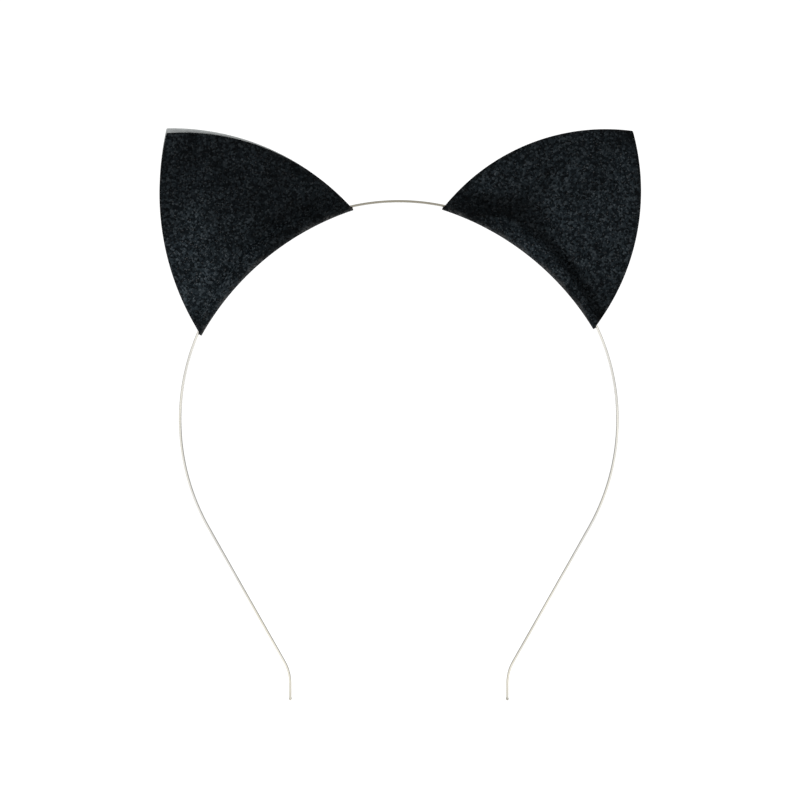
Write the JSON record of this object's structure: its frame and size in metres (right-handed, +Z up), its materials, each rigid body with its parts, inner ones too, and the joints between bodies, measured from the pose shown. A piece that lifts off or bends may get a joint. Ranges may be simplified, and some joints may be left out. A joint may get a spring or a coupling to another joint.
{
  "type": "animal ears headband",
  "caption": "Thin open spring-steel headband with two pointed cat ears of glitter cloth folded over it, for dressing up.",
  "frame": {"origin": "the head seat: the middle of the crown's underside, where the band rests on the head", "axes": "+Z up to the crown, front faces -Y, the wearer's right ear is at -X; the open ends point to -Z; names say left and right as seen from the front, so left is at -X"},
  "size_m": [0.1377, 0.0064, 0.1635],
  "materials": {
    "spring_steel": "satin",
    "glitter_cloth": "fine black glitter on a woven backing",
    "interlining": "matt non-woven",
    "hot_melt_glue": "waxy"
  },
  "bodies": {
    "crown": {"crown_band": "spring_steel"},
    "left_shoulder": {"left_shoulder_band": "spring_steel", "left_ear_fold": "glitter_cloth", "left_glue_bead": "hot_melt_glue"},
    "left_arm": {"left_arm_band": "spring_steel"},
    "left_ear": {"left_front_leaf": "glitter_cloth", "left_back_leaf": "glitter_cloth", "left_stiffener": "interlining"},
    "right_shoulder": {"right_shoulder_band": "spring_steel", "right_ear_fold": "glitter_cloth", "right_glue_bead": "hot_melt_glue"},
    "right_arm": {"right_arm_band": "spring_steel"},
    "right_ear": {"right_front_leaf": "glitter_cloth", "right_back_leaf": "glitter_cloth", "right_stiffener": "interlining"}
  },
  "joints": [
    {"name": "left_shoulder_flex", "type": "hinge", "parent": "crown", "child": "left_shoulder", "pos_m": [-0.0115, 0, -0.00077], "axis": [0, 1, 0], "range_deg": [-3, 12], "stiffness_Nm_per_rad": 0.25},
    {"name": "left_arm_flex", "type": "hinge", "parent": "left_shoulder", "child": "left_arm", "pos_m": [-0.05815, 0, -0.03929], "axis": [0, 1, 0], "range_deg": [-1.2, 4.8], "stiffness_Nm_per_rad": 0.5},
    {"name": "left_ear_tilt", "type": "hinge", "parent": "left_shoulder", "child": "left_ear", "pos_m": [-0.04298, 0, -0.01015], "axis": [0.7711, 0, 0.6368], "range_deg": [-25, 25], "stiffness_Nm_per_rad": 0.02},
    {"name": "right_shoulder_flex", "type": "hinge", "parent": "crown", "child": "right_shoulder", "pos_m": [0.0115, 0, -0.00077], "axis": [0, -1, 0], "range_deg": [-3, 12], "stiffness_Nm_per_rad": 0.25},
    {"name": "right_arm_flex", "type": "hinge", "parent": "right_shoulder", "child": "right_arm", "pos_m": [0.05815, 0, -0.03929], "axis": [0, -1, 0], "range_deg": [-1.2, 4.8], "stiffness_Nm_per_rad": 0.5},
    {"name": "right_ear_tilt", "type": "hinge", "parent": "right_shoulder", "child": "right_ear", "pos_m": [0.04183, 0, -0.00923], "axis": [0.7848, 0, -0.6198], "range_deg": [-25, 25], "stiffness_Nm_per_rad": 0.02}
  ],
  "couplings": [
    {"joint": "left_arm_flex", "follows": "left_shoulder_flex", "ratio": 0.4},
    {"joint": "right_arm_flex", "follows": "right_shoulder_flex", "ratio": 0.4}
  ]
}
